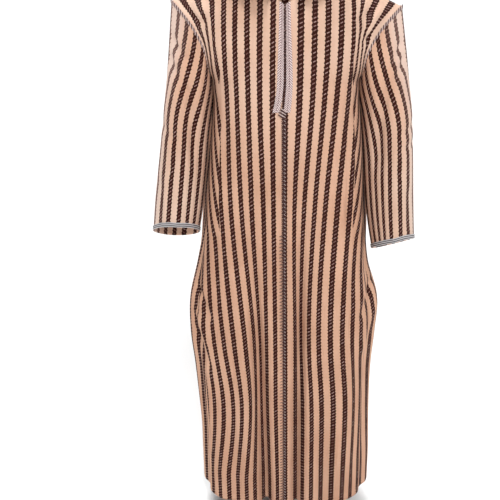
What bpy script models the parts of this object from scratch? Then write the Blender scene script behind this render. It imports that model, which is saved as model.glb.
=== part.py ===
"""A long striped hooded robe, hanging open at neck, cuffs and hem.

Every piece that is cut and sewn is one closed wall of cloth. +X is the robe's
left side, the front faces -Y, and the origin lies on the middle plane, level
with the tips of the shoulders. All sizes are in metres.
"""

from collections import namedtuple
from math import cos, pi, sin

import bmesh
import bpy
import numpy as np
from mathutils import Vector

# Cloth and seams
WALL = 0.002            # thickness of the woven cloth
BRAID = 0.0018          # thickness of the flat braid on placket and cuffs
SEAM_GAP = 0.0003       # between two pieces along a seam

# Heights
HEM_Z = -1.36
PLACKET_END_Z = -0.27
ARMPIT_Z = -0.19
ROW_BELOW_ARMPIT_Z = -0.23

# The cut
PANEL_HALF = 0.270      # half the width of the front, and of the back
GORE_HEM = 0.270        # width of a side gore at the hem
GORE_TIP_DROP = 0.010   # from the armpit to the gore's upper end
BRAID_WIDTH = 0.017     # from the centre line to the outer edge of a placket braid
BRAID_COVER = 0.97      # share of that width that the braid covers
BRAID_CHANNEL = 0.0015  # half the channel between the two placket braids
CUFF_BRAID = 0.012      # height of a cuff braid

# Rows and columns of each piece
LOWER_ROWS = 19         # hem to placket end
UPPER_ROWS = 10         # armpit to shoulder
PANEL_COLUMNS = 15      # centre line to side seam
NECK_COLUMNS = 5        # of those, the ones that end at the neckline
GORE_COLUMNS = 6
SLEEVE_ROWS = 12
RING_SAMPLES = 240      # fine steps along half a body ring

LEFT, RIGHT = 1, -1

# The body's outline, ring by ring from hem to armpit
Section = namedtuple("Section", "z half_right half_left front_depth back_depth")
BODY = (
    Section(-1.36, 0.247, 0.250, 0.172, 0.155),
    Section(-1.26, 0.246, 0.249, 0.168, 0.153),
    Section(-1.16, 0.245, 0.245, 0.165, 0.150),
    Section(-1.06, 0.249, 0.242, 0.162, 0.146),
    Section(-0.96, 0.254, 0.242, 0.159, 0.142),
    Section(-0.86, 0.261, 0.248, 0.156, 0.138),
    Section(-0.76, 0.257, 0.250, 0.153, 0.134),
    Section(-0.66, 0.233, 0.221, 0.150, 0.130),
    Section(-0.56, 0.212, 0.209, 0.148, 0.126),
    Section(-0.46, 0.200, 0.201, 0.143, 0.121),
    Section(-0.36, 0.186, 0.193, 0.138, 0.118),
    Section(-0.26, 0.174, 0.182, 0.132, 0.115),
    Section(-0.19, 0.172, 0.176, 0.127, 0.112),
)
SQUARENESS = 2.6        # 2 is an ellipse, more is boxier

# Long hanging folds. "along" is measured round the ring from the centre line.
Fold = namedtuple("Fold", "side top_along hem_along start_z full_z depth half_width")
FRONT_FOLDS = (
    Fold(RIGHT, 0.082, 0.056, -0.50, -0.96, 0.044, 0.030),
    Fold(RIGHT, 0.148, 0.150, -0.80, -1.25, 0.010, 0.036),
    Fold(RIGHT, 0.255, 0.268, -0.24, -0.90, 0.012, 0.036),
    Fold(LEFT, 0.044, 0.032, -0.42, -0.90, 0.034, 0.025),
    Fold(LEFT, 0.110, 0.115, -0.80, -1.25, 0.016, 0.036),
    Fold(LEFT, 0.240, 0.255, -0.24, -0.90, 0.012, 0.034),
)
BACK_FOLDS = (
    Fold(RIGHT, 0.050, 0.060, -0.35, -1.10, 0.018, 0.034),
    Fold(RIGHT, 0.125, 0.140, -0.25, -1.00, 0.014, 0.036),
    Fold(RIGHT, 0.190, 0.195, -0.45, -1.20, 0.016, 0.036),
    Fold(LEFT, 0.030, 0.020, -0.60, -1.20, 0.014, 0.034),
    Fold(LEFT, 0.105, 0.110, -0.30, -1.05, 0.018, 0.036),
    Fold(LEFT, 0.170, 0.180, -0.40, -1.15, 0.016, 0.036),
)

# Where body and sleeve meet, from armpit to shoulder tip, for x on the +X side
ARMHOLE_FRONT = (
    (0.172, 0.000, -0.190), (0.176, -0.055, -0.165), (0.181, -0.086, -0.115),
    (0.203, -0.078, -0.072), (0.232, -0.045, -0.040), (0.262, 0.000, -0.015),
)
ARMHOLE_BACK = (
    (0.172, 0.000, -0.190), (0.178, 0.050, -0.160), (0.184, 0.074, -0.112),
    (0.205, 0.068, -0.070), (0.234, 0.040, -0.038), (0.262, 0.000, -0.015),
)
LEFT_TIP_OUT = 0.009    # the left shoulder reaches this much further out
LEFT_TIP_DROP = 0.012   # and lies this much lower

# The neck, from the centre line to the point where it meets the shoulder seam
NECK_FRONT = (
    (0.000, -0.116, -0.020), (0.030, -0.103, 0.002), (0.055, -0.077, 0.024),
    (0.073, -0.040, 0.046), (0.080, 0.000, 0.060),
)
NECK_BACK = (
    (0.000, 0.072, 0.036), (0.030, 0.067, 0.039), (0.056, 0.050, 0.046),
    (0.074, 0.026, 0.054), (0.080, 0.000, 0.060),
)

# The hanging sleeves: x of the outer and the inner edge, y of the middle
Cut = namedtuple("Cut", "z outer inner middle_y half_depth")
SLEEVE = {
    RIGHT: (
        Cut(-0.62, 0.343, 0.229, -0.047, 0.068),
        Cut(-0.46, 0.323, 0.208, -0.038, 0.070),
        Cut(-0.36, 0.307, 0.198, -0.030, 0.073),
        Cut(-0.26, 0.292, 0.190, -0.020, 0.075),
        Cut(-0.19, 0.283, 0.180, -0.010, 0.078),
        Cut(-0.02, 0.262, 0.165, 0.000, 0.080),
    ),
    LEFT: (
        Cut(-0.66, 0.337, 0.230, -0.049, 0.068),
        Cut(-0.46, 0.321, 0.209, -0.038, 0.070),
        Cut(-0.36, 0.314, 0.204, -0.030, 0.073),
        Cut(-0.26, 0.306, 0.197, -0.020, 0.075),
        Cut(-0.19, 0.297, 0.184, -0.010, 0.078),
        Cut(-0.03, 0.271, 0.169, 0.000, 0.080),
    ),
}
ARMHOLE_REACH = 0.45    # share of the sleeve that still follows the armhole's form
Cuff = namedtuple("Cuff", "z forward_tilt side_tilt")
CUFF = {RIGHT: Cuff(-0.565, 0.54, 0.0), LEFT: Cuff(-0.598, 0.45, 0.24)}

# The hood, lying on the back. Front values hold at the ends, back values behind.
Hood = namedtuple("Hood", "rise reach fall bag slope")
HOOD_FRONT = Hood(0.012, 0.010, 0.020, 0.008, 0.60)
HOOD_SHOULDER = Hood(0.022, 0.018, 0.050, 0.018, 0.58)
HOOD_BACK = Hood(0.034, 0.024, 0.280, 0.050, 1.49)
HOOD_GAP = 0.0008       # between the neck's edge and the hood's

# Colours, averaged over the stripes
CLOTH = (0.39, 0.22, 0.16)
BRAID_GREY = (0.60, 0.52, 0.51)
HOOD_CLOTH = (0.37, 0.21, 0.15)


# Small tools

def ease(t):
    """Rise from 0 to 1 with soft ends."""
    t = min(max(t, 0.0), 1.0)
    return t * t * (3.0 - 2.0 * t)


def hermite(t, a, b, slope_a, slope_b):
    return ((2 * t**3 - 3 * t**2 + 1) * a + (t**3 - 2 * t**2 + t) * slope_a
            + (3 * t**2 - 2 * t**3) * b + (t**3 - t**2) * slope_b)


def read(table, z):
    """The row of a table at height z, as a smooth curve through its rows."""
    rows = np.array(table)
    heights = rows[:, 0]
    k = int(np.clip(np.searchsorted(heights, z) - 1, 0, len(rows) - 2))
    span = heights[k + 1] - heights[k]
    slopes = np.gradient(rows, heights, axis=0) * span
    t = min(max((z - heights[k]) / span, 0.0), 1.0)
    return hermite(t, rows[k], rows[k + 1], slopes[k], slopes[k + 1])


def along_curve(points, t):
    """A point at t, 0 to 1, on a smooth curve through a few given points."""
    rows = np.array(points)
    place = min(max(t, 0.0), 1.0) * (len(rows) - 1)
    k = min(int(place), len(rows) - 2)
    slopes = np.gradient(rows, axis=0)
    return hermite(place - k, rows[k], rows[k + 1], slopes[k], slopes[k + 1])


# The body's rings

def half_ring(side, z):
    """Points from centre front round one side to centre back, with the folds in."""
    _, half_right, half_left, front, back = read(BODY, z)
    half = half_left if side == LEFT else half_right
    angle = np.linspace(0.0, pi, RING_SAMPLES + 1)
    x = half * np.abs(np.sin(angle)) ** (2.0 / SQUARENESS)
    depth = np.where(angle < pi / 2, -front, back)
    y = depth * np.abs(np.cos(angle)) ** (2.0 / SQUARENESS)
    line = np.stack([x, y], axis=1)
    run = ring_length(line)
    tangent = np.gradient(line, axis=0)
    tangent /= np.linalg.norm(tangent, axis=1)[:, None]
    inward = np.stack([-tangent[:, 1], tangent[:, 0]], axis=1)
    from_front = fold_depth(FRONT_FOLDS, side, z, run)
    from_back = fold_depth(BACK_FOLDS, side, z, run[-1] - run)
    line = line + inward * (from_front + from_back)[:, None]
    line[0, 0] = line[-1, 0] = 0.0
    return line * (side, 1.0)


def ring_length(line):
    steps = np.linalg.norm(np.diff(line, axis=0), axis=1)
    return np.concatenate([[0.0], np.cumsum(steps)])


def fold_depth(folds, side, z, run):
    """How far each point of a ring is drawn in by the folds that pass it."""
    total = np.zeros_like(run)
    for fold in folds:
        if fold.side != side or z > fold.start_z:
            continue
        down = (fold.start_z - z) / (fold.start_z - HEM_Z)
        centre = fold.top_along + (fold.hem_along - fold.top_along) * down
        strength = fold.depth * ease((fold.start_z - z) / (fold.start_z - fold.full_z))
        total += strength * np.exp(-((run - centre) / (0.6 * fold.half_width)) ** 2)
    return total


def ring_points(side, z, shares):
    """Points of a half ring: front panel, gore and back panel, by shares of each."""
    line = half_ring(side, z)
    run = ring_length(line)
    gore = GORE_HEM * (ARMPIT_Z - z) / (ARMPIT_Z - HEM_Z)
    side_place = run[RING_SAMPLES // 2]
    gore_start = min(side_place - gore / 2, PANEL_HALF)
    gore_end = max(side_place + gore / 2, run[-1] - PANEL_HALF)
    places = {
        "front": gore_start * shares,
        "gore": np.linspace(gore_start, gore_end, GORE_COLUMNS + 1),
        "back": run[-1] - (run[-1] - gore_end) * shares,
    }
    return {
        part: [Vector((np.interp(p, run, line[:, 0]), np.interp(p, run, line[:, 1]), z)) for p in place]
        for part, place in places.items()
    }


# The upper body

def armhole(side, points, t):
    """A point of the armhole, with the left one reaching out and down a little."""
    x, y, z = along_curve(points, t)
    if side == LEFT:
        x += 0.004 + (LEFT_TIP_OUT - 0.004) * t
        z -= LEFT_TIP_DROP * t
    return Vector((side * x, y, z))


def top_edge(side, neck, column):
    """A point of a panel's top edge: the neckline, then the shoulder seam."""
    if column <= NECK_COLUMNS:
        x, y, z = along_curve(neck, column / NECK_COLUMNS)
        return Vector((side * x, y, z))
    x, y, z = neck[-1]
    t = (column - NECK_COLUMNS) / (PANEL_COLUMNS - NECK_COLUMNS)
    return Vector((side * x, y, z)).lerp(armhole(side, ARMHOLE_FRONT, 1.0), t)


def upper_rows(side, bottom, hole, neck, shares):
    """Rows above the armpit, stretched between ring, armhole, neck and centre line."""
    top = [top_edge(side, neck, i) for i in range(PANEL_COLUMNS + 1)]
    rows = []
    for j in range(1, UPPER_ROWS + 1):
        t = j / UPPER_ROWS
        edge = armhole(side, hole, t)
        centre = bottom[0].lerp(top[0], t)
        row = []
        for i, s in enumerate(shares):
            reach = min(i, PANEL_COLUMNS - i) * (1.0 - t)
            above = [top_edge(side, neck, i + reach * n / 3) for n in range(-3, 4)]
            straight = bottom[i].lerp(sum(above, Vector()) / 7, t)
            across = centre.lerp(edge, s)
            corners = bottom[0].lerp(bottom[-1], s).lerp(top[0].lerp(top[-1], s), t)
            row.append(straight + across - corners)
        rows.append(row)
    return rows


# The sleeves

def sleeve_rows(side, hole):
    """Rings of a sleeve from the armhole down, on its hanging sections."""
    count = len(hole)
    cuff = CUFF[side]
    rows = []
    for r in range(SLEEVE_ROWS + 1):
        row = []
        for k, start in enumerate(hole):
            angle = 2.0 * pi * k / count
            end_z = cuff_height(side, cuff, angle)
            braid_top = (end_z + CUFF_BRAID - start.z) / (end_z - start.z)
            t = 1.0 if r == SLEEVE_ROWS else braid_top * r / (SLEEVE_ROWS - 1)
            z = start.z + (end_z - start.z) * t
            offset = start.xy - on_section(side, start.z, angle)
            x, y = on_section(side, z, angle) + offset * (1.0 - ease(t / ARMHOLE_REACH))
            row.append(Vector((x, y, z)))
        rows.append(row)
    return rows


def on_section(side, z, angle):
    _, outer, inner, middle_y, half_depth = read(SLEEVE[side], z)
    middle_x = 0.5 * (outer + inner)
    half = 0.5 * (outer - inner)
    return Vector((side * (middle_x + half * cos(angle)), middle_y - half_depth * sin(angle)))


def cuff_height(side, cuff, angle):
    """The cuff's edge, higher at the front and, on the left, at the outside."""
    _, outer, inner, _, half_depth = read(SLEEVE[side], cuff.z)
    forward = half_depth * sin(angle)
    outward = 0.5 * (outer - inner) * cos(angle)
    return cuff.z + cuff.forward_tilt * forward + cuff.side_tilt * outward


# The sewn surface: all outer points in one list, shared along the seams

class Surface:
    """The robe's outer surface as one sewn mesh, cut into pieces by face lists."""

    def __init__(self):
        self.mesh = bmesh.new()
        self.pieces = {}

    def point(self, place):
        return self.mesh.verts.new(place)

    def points(self, places):
        return [self.point(place) for place in places]

    def add(self, piece, rows, flip=False):
        """Faces between neighbouring rows of points, added to a named piece."""
        faces = self.pieces.setdefault(piece, [])
        for low, high in zip(rows, rows[1:]):
            for a, b, c, d in zip(low, low[1:], high[1:], high):
                corners = [v for n, v in enumerate((a, b, c, d)) if v not in (a, b, c, d)[:n]]
                faces.append(self.mesh.faces.new(corners[::-1] if flip else corners))


def wall(name, faces, lift, thickness, pull):
    """A closed wall from a patch of the sewn surface, drawn back a little at its edge."""
    edge_faces = {}
    for face in faces:
        for edge in face.edges:
            edge_faces.setdefault(edge, []).append(face)
    rim = [edge for edge, users in edge_faces.items() if len(users) == 1]
    back_off = pull_back(faces, rim, pull)
    solid = bmesh.new()
    outer, inner = {}, {}
    for face in faces:
        for vert in face.verts:
            if vert not in outer:
                base = vert.co + back_off.get(vert, Vector())
                outer[vert] = solid.verts.new(base + vert.normal * (lift + thickness))
                inner[vert] = solid.verts.new(base + vert.normal * lift)
    for face in faces:
        solid.faces.new([outer[v] for v in face.verts])
        solid.faces.new([inner[v] for v in reversed(face.verts)])
    for edge in rim:
        a, b = edge.verts
        solid.faces.new((outer[a], outer[b], inner[b], inner[a]))
    bmesh.ops.recalc_face_normals(solid, faces=solid.faces)
    bmesh.ops.triangulate(solid, faces=solid.faces)
    return place(name, solid)


def pull_back(faces, rim, distance):
    """For each point of a patch's edge, a short step into the patch, longer at a sharp corner."""
    members = set(faces)
    neighbours = {}
    for edge in rim:
        a, b = edge.verts
        neighbours.setdefault(a, []).append(b)
        neighbours.setdefault(b, []).append(a)
    steps = {}
    for vert, ends in neighbours.items():
        own = [face.calc_center_median() for face in vert.link_faces if face in members]
        step = sum(own, Vector()) / len(own) - vert.co
        along = [(end.co - vert.co).normalized() for end in ends]
        opening = along[0].dot(along[1])
        if opening < -0.5:
            run = (along[0] - along[1]).normalized()
            step -= run * step.dot(run)
            step -= vert.normal * step.dot(vert.normal)
        half_angle_sine = max(((1.0 - opening) / 2.0) ** 0.5, 0.1)
        steps[vert] = step.normalized() * distance / half_angle_sine
    return steps


def place(name, solid):
    mesh = bpy.data.meshes.new(name)
    solid.to_mesh(mesh)
    solid.free()
    mesh.shade_smooth()
    mesh.set_sharp_from_angle(angle=0.9)
    thing = bpy.data.objects.new(name, mesh)
    bpy.context.scene.collection.objects.link(thing)
    return thing


def finish(thing, colour, roughness):
    """A plain dyed-cloth material of the piece's own."""
    material = bpy.data.materials.new(thing.name)
    material.use_nodes = True
    shader = material.node_tree.nodes["Principled BSDF"]
    shader.inputs["Base Color"].default_value = (*colour, 1.0)
    shader.inputs["Roughness"].default_value = roughness
    shader.inputs["Metallic"].default_value = 0.0
    thing.data.materials.append(material)


# Laying out the robe

def lay_out(surface):
    """All points of the body and sleeves, sewn together; returns what the trims need."""
    shares = np.concatenate([[0.0], np.linspace(BRAID_WIDTH / PANEL_HALF, 1.0, PANEL_COLUMNS)])
    heights = list(np.linspace(HEM_Z, PLACKET_END_Z, LOWER_ROWS + 1)) + [ROW_BELOW_ARMPIT_Z]
    grids = {(part, side): [] for part in ("front", "back") for side in (LEFT, RIGHT)}
    gores = {LEFT: [], RIGHT: []}
    centre_front, centre_back = [], []

    for z in heights:
        rings = {side: ring_points(side, z, shares) for side in (LEFT, RIGHT)}
        centre_front.append(surface.point(rings[LEFT]["front"][0]))
        centre_back.append(surface.point(rings[LEFT]["back"][0]))
        for side, ring in rings.items():
            front = [centre_front[-1]] + surface.points(ring["front"][1:])
            back = [centre_back[-1]] + surface.points(ring["back"][1:])
            grids["front", side].append(front)
            grids["back", side].append(back)
            gores[side].append([front[-1]] + surface.points(ring["gore"][1:-1]) + [back[-1]])

    armholes = {}
    rings = {side: ring_points(side, ARMPIT_Z, shares) for side in (LEFT, RIGHT)}
    centre_front.append(surface.point(rings[LEFT]["front"][0]))
    centre_back.append(surface.point(rings[LEFT]["back"][0]))
    upper = {}
    for side, ring in rings.items():
        ring["front"][-1] = armhole(side, ARMHOLE_FRONT, 0.0)
        ring["back"][-1] = armhole(side, ARMHOLE_BACK, 0.0)
        upper["front", side] = upper_rows(side, ring["front"], ARMHOLE_FRONT, NECK_FRONT, shares)
        upper["back", side] = upper_rows(side, ring["back"], ARMHOLE_BACK, NECK_BACK, shares)
    centre_front += surface.points(row[0] for row in upper["front", LEFT])
    centre_back += surface.points(row[0] for row in upper["back", LEFT])

    first = len(heights)
    for side, ring in rings.items():
        armpit = surface.point(ring["front"][-1])
        gore_tip = surface.point(armpit.co - Vector((0.0, 0.0, GORE_TIP_DROP)))
        gores[side].append([gore_tip] * (GORE_COLUMNS + 1))
        grids["front", side].append(
            [centre_front[first]] + surface.points(ring["front"][1:-1]) + [armpit])
        grids["back", side].append(
            [centre_back[first]] + surface.points(ring["back"][1:-1]) + [armpit])
        for j in range(UPPER_ROWS - 1):
            for part, centre in (("front", centre_front), ("back", centre_back)):
                row = upper[part, side][j]
                grids[part, side].append([centre[first + 1 + j]] + surface.points(row[1:]))
        shoulder = surface.points(upper["front", side][-1][NECK_COLUMNS:])
        for part, centre in (("front", centre_front), ("back", centre_back)):
            neck = surface.points(upper[part, side][-1][1:NECK_COLUMNS])
            grids[part, side].append([centre[-1]] + neck + shoulder)
        up_front = [row[-1] for row in grids["front", side][first:]]
        up_back = [row[-1] for row in grids["back", side][first:]]
        armholes[side] = up_front[::-1] + up_back[1:-1]

    sleeves = {}
    for side, hole in armholes.items():
        rows = [hole] + [surface.points(row) for row in sleeve_rows(side, [v.co for v in hole])[1:]]
        sleeves[side] = [row + row[:1] for row in rows]
    return grids, gores, sleeves


def sew(surface, grids, gores, sleeves):
    """The faces of every piece of the body and sleeves."""
    for side, word in ((LEFT, "left"), (RIGHT, "right")):
        flip = side == RIGHT
        surface.add("front_" + word, grids["front", side], flip)
        surface.add("back", grids["back", side], not flip)
        surface.add("gore_" + word, gores[side], flip)
        surface.add("sleeve_" + word, sleeves[side], flip)
    surface.mesh.normal_update()


def build_cloth(surface):
    """The cloth pieces of body and sleeves; the sleeves keep clear where an armhole folds back."""
    for name, faces in surface.pieces.items():
        pull = SEAM_GAP if name.startswith("sleeve") else SEAM_GAP / 2
        piece = wall(name, faces, -WALL, WALL, pull)
        finish(piece, CLOTH, 0.85)


def build_placket(grids):
    """Two flat braids, on the two edges of the front opening."""
    first = LOWER_ROWS
    for side, word in ((LEFT, "left"), (RIGHT, "right")):
        rows = [row[:2] for row in grids["front", side][first:]]
        strip = bmesh.new()
        left_edge, right_edge = [], []
        for inner, outer in rows:
            start = inner.co.lerp(outer.co, BRAID_CHANNEL / BRAID_WIDTH)
            left_edge.append(strip.verts.new(start))
            right_edge.append(strip.verts.new(inner.co.lerp(outer.co, BRAID_COVER)))
        faces = strip_faces(strip, left_edge, right_edge, side == RIGHT)
        piece = wall("placket_" + word, faces, SEAM_GAP, BRAID, 0.0)
        strip.free()
        finish(piece, BRAID_GREY, 0.6)


def strip_faces(strip, low, high, flip):
    """One row of faces between two lines of points."""
    faces = []
    for a, b, c, d in zip(low, high, high[1:], low[1:]):
        faces.append(strip.faces.new((d, c, b, a) if flip else (a, b, c, d)))
    strip.normal_update()
    return faces


def build_cuffs(surface, sleeves):
    """A flat braid round the end of each sleeve."""
    for side, word in ((LEFT, "left"), (RIGHT, "right")):
        last = sleeves[side][-2:]
        faces = [f for f in surface.pieces["sleeve_" + word] if all(v in last[0] + last[1] for v in f.verts)]
        piece = wall("cuff_" + word, faces, SEAM_GAP, BRAID, 0.0)
        finish(piece, BRAID_GREY, 0.5)


# The hood

def blend(a, b, t):
    return Hood(*(p + (q - p) * t for p, q in zip(a, b)))


def hood_sizes(direction):
    """The hood's sizes for a point of the neckline that faces a given way."""
    behind = direction.y
    if behind < 0.0:
        return blend(HOOD_SHOULDER, HOOD_FRONT, ease(-behind))
    sizes = blend(HOOD_SHOULDER, HOOD_BACK, ease(behind) ** 1.5)
    pointed = HOOD_SHOULDER.fall + (HOOD_BACK.fall - HOOD_SHOULDER.fall) * ease(behind) ** 2
    return sizes._replace(fall=pointed)


def hood_profile(sizes):
    """Outward and upward steps from the neckline: up, over, down, and up again."""
    across, down = cos(sizes.slope), -sin(sizes.slope)
    lean = np.array([across, down])
    out = np.array([-down, across])
    shoulder = np.array([sizes.reach + 0.006, sizes.rise * 0.7])
    bottom = shoulder + lean * sizes.fall
    return [
        np.array([0.0, 0.0]),
        np.array([0.12 * sizes.reach, 0.6 * sizes.rise]),
        np.array([0.50 * sizes.reach, sizes.rise]),
        shoulder,
        shoulder + lean * 0.35 * sizes.fall,
        shoulder + lean * 0.75 * sizes.fall,
        bottom + out * 0.10 * sizes.bag,
        bottom + out * 0.60 * sizes.bag - lean * 0.04 * sizes.fall,
        shoulder + lean * 0.65 * sizes.fall + out * 1.05 * sizes.bag,
        shoulder + lean * 0.30 * sizes.fall + out * 1.10 * sizes.bag,
        shoulder + lean * 0.06 * sizes.fall + out * 1.25 * sizes.bag,
    ]


def build_hood(grids):
    """Two halves of a pointed bag, open at the top, that hangs from a soft roll round the neck."""
    right = grids["front", RIGHT][-1][1:NECK_COLUMNS + 1] + grids["back", RIGHT][-1][:NECK_COLUMNS][::-1]
    left = grids["back", LEFT][-1][1:NECK_COLUMNS] + grids["front", LEFT][-1][1:NECK_COLUMNS + 1][::-1]
    neckline = right + left
    sheet = bmesh.new()
    rows = []
    for vert in neckline:
        direction = Vector((vert.co.x, vert.co.y + 0.02, 0.0)).normalized()
        start = vert.co + Vector((0.0, 0.0, HOOD_GAP))
        steps = hood_profile(hood_sizes(direction))
        rows.append([sheet.verts.new(start + direction * out + Vector((0, 0, up))) for out, up in steps])
    halves = {"hood_right": rows[:len(right)], "hood_left": rows[len(right) - 1:]}
    faces = {name: [] for name in halves}
    for name, half in halves.items():
        for low, high in zip(half, half[1:]):
            for a, b, c, d in zip(low, low[1:], high[1:], high):
                faces[name].append(sheet.faces.new((d, c, b, a)))
    sheet.normal_update()
    for name in halves:
        piece = wall(name, faces[name], -WALL, WALL, SEAM_GAP / 2)
        finish(piece, HOOD_CLOTH, 0.85)
    sheet.free()


def main():
    for thing in list(bpy.data.objects):
        bpy.data.objects.remove(thing)
    surface = Surface()
    grids, gores, sleeves = lay_out(surface)
    sew(surface, grids, gores, sleeves)
    build_cloth(surface)
    build_placket(grids)
    build_cuffs(surface, sleeves)
    build_hood(grids)
    surface.mesh.free()


main()
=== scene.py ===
from collections import namedtuple
from math import cos, pi, radians, sin

import bmesh
import bpy
import numpy as np
from mathutils import Matrix, Vector


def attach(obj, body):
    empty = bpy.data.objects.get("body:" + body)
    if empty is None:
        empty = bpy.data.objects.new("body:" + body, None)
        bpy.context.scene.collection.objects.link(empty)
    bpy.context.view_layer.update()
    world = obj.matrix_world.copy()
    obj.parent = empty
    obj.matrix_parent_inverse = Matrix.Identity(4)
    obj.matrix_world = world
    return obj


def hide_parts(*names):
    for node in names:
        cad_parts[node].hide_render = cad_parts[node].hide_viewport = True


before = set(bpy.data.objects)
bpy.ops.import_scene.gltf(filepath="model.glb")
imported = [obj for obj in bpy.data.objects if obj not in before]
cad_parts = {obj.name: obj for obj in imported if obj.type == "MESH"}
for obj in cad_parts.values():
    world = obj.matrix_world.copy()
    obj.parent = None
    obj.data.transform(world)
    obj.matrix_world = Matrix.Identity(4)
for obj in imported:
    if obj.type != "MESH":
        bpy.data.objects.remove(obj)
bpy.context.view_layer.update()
LEFT, RIGHT = 1, -1
SIDES = ((LEFT, "left"), (RIGHT, "right"))


# Front halves
# Two lengths of striped wool and cotton cloth, cut along the stripes and sewn together down the
# centre line below the neck opening. The cloth is woven with a dark band that carries one row of
# slanting floats, and a light band between two dark ones.

CLOTH = 0.0018          # thickness of the cloth
HEM_Z, ARMPIT_Z = -1.36, -0.19
BODY_MIDDLE = (0, 0, -0.7)
PANEL_HALF = 0.270      # half the width of the front, and of the back
GORE_HEM = 0.270
BRAID_WIDTH = 0.017     # from the centre line to the outer edge of a placket braid
PANEL_COLUMNS, NECK_COLUMNS = 15, 5    # places along the top edge, and those at the neckline
SQUARENESS = 2.6
RING_SAMPLES = 400
FRONT_COLUMNS, LOWER_ROWS, UPPER_ROWS = 54, 190, 44

Section = namedtuple("Section", "z half_right half_left front_depth back_depth")
BODY = (
    Section(-1.36, 0.247, 0.250, 0.172, 0.155),
    Section(-1.26, 0.246, 0.249, 0.168, 0.153),
    Section(-1.16, 0.245, 0.245, 0.165, 0.150),
    Section(-1.06, 0.249, 0.242, 0.162, 0.146),
    Section(-0.96, 0.254, 0.242, 0.159, 0.142),
    Section(-0.86, 0.261, 0.248, 0.156, 0.138),
    Section(-0.76, 0.257, 0.250, 0.153, 0.134),
    Section(-0.66, 0.233, 0.221, 0.150, 0.130),
    Section(-0.56, 0.212, 0.209, 0.148, 0.126),
    Section(-0.46, 0.200, 0.201, 0.143, 0.121),
    Section(-0.36, 0.186, 0.193, 0.138, 0.118),
    Section(-0.26, 0.174, 0.182, 0.132, 0.115),
    Section(-0.19, 0.172, 0.176, 0.127, 0.112),
)
Fold = namedtuple("Fold", "side top_along hem_along start_z full_z depth half_width")
FRONT_FOLDS = (
    Fold(RIGHT, 0.082, 0.056, -0.50, -0.96, 0.044, 0.030),
    Fold(RIGHT, 0.148, 0.150, -0.80, -1.25, 0.010, 0.036),
    Fold(RIGHT, 0.255, 0.268, -0.24, -0.90, 0.012, 0.036),
    Fold(LEFT, 0.044, 0.032, -0.42, -0.90, 0.034, 0.025),
    Fold(LEFT, 0.110, 0.115, -0.80, -1.25, 0.016, 0.036),
    Fold(LEFT, 0.240, 0.255, -0.24, -0.90, 0.012, 0.034),
)
BACK_FOLDS = (
    Fold(RIGHT, 0.050, 0.060, -0.35, -1.10, 0.018, 0.034),
    Fold(RIGHT, 0.125, 0.140, -0.25, -1.00, 0.014, 0.036),
    Fold(RIGHT, 0.190, 0.195, -0.45, -1.20, 0.016, 0.036),
    Fold(LEFT, 0.030, 0.020, -0.60, -1.20, 0.014, 0.034),
    Fold(LEFT, 0.105, 0.110, -0.30, -1.05, 0.018, 0.036),
    Fold(LEFT, 0.170, 0.180, -0.40, -1.15, 0.016, 0.036),
)
ARMHOLE_FRONT = (
    (0.172, 0.000, -0.190), (0.176, -0.055, -0.165), (0.181, -0.086, -0.115),
    (0.203, -0.078, -0.072), (0.232, -0.045, -0.040), (0.262, 0.000, -0.015),
)
ARMHOLE_BACK = (
    (0.172, 0.000, -0.190), (0.178, 0.050, -0.160), (0.184, 0.074, -0.112),
    (0.205, 0.068, -0.070), (0.234, 0.040, -0.038), (0.262, 0.000, -0.015),
)
LEFT_ARMHOLE_OUT = 0.004
LEFT_TIP_OUT = 0.009
LEFT_TIP_DROP = 0.012
NECK_FRONT = (
    (0.000, -0.116, -0.020), (0.030, -0.103, 0.002), (0.055, -0.077, 0.024),
    (0.073, -0.040, 0.046), (0.080, 0.000, 0.060),
)
NECK_BACK = (
    (0.000, 0.072, 0.036), (0.030, 0.067, 0.039), (0.056, 0.050, 0.046),
    (0.074, 0.026, 0.054), (0.080, 0.000, 0.060),
)

FRONT, BACK = 1, -1
Crease = namedtuple("Crease", "face x0 z0 x1 z1 bow half_width depth")


def creases_on(face, *rows):
    return [Crease(face, *row) for row in rows]


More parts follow.
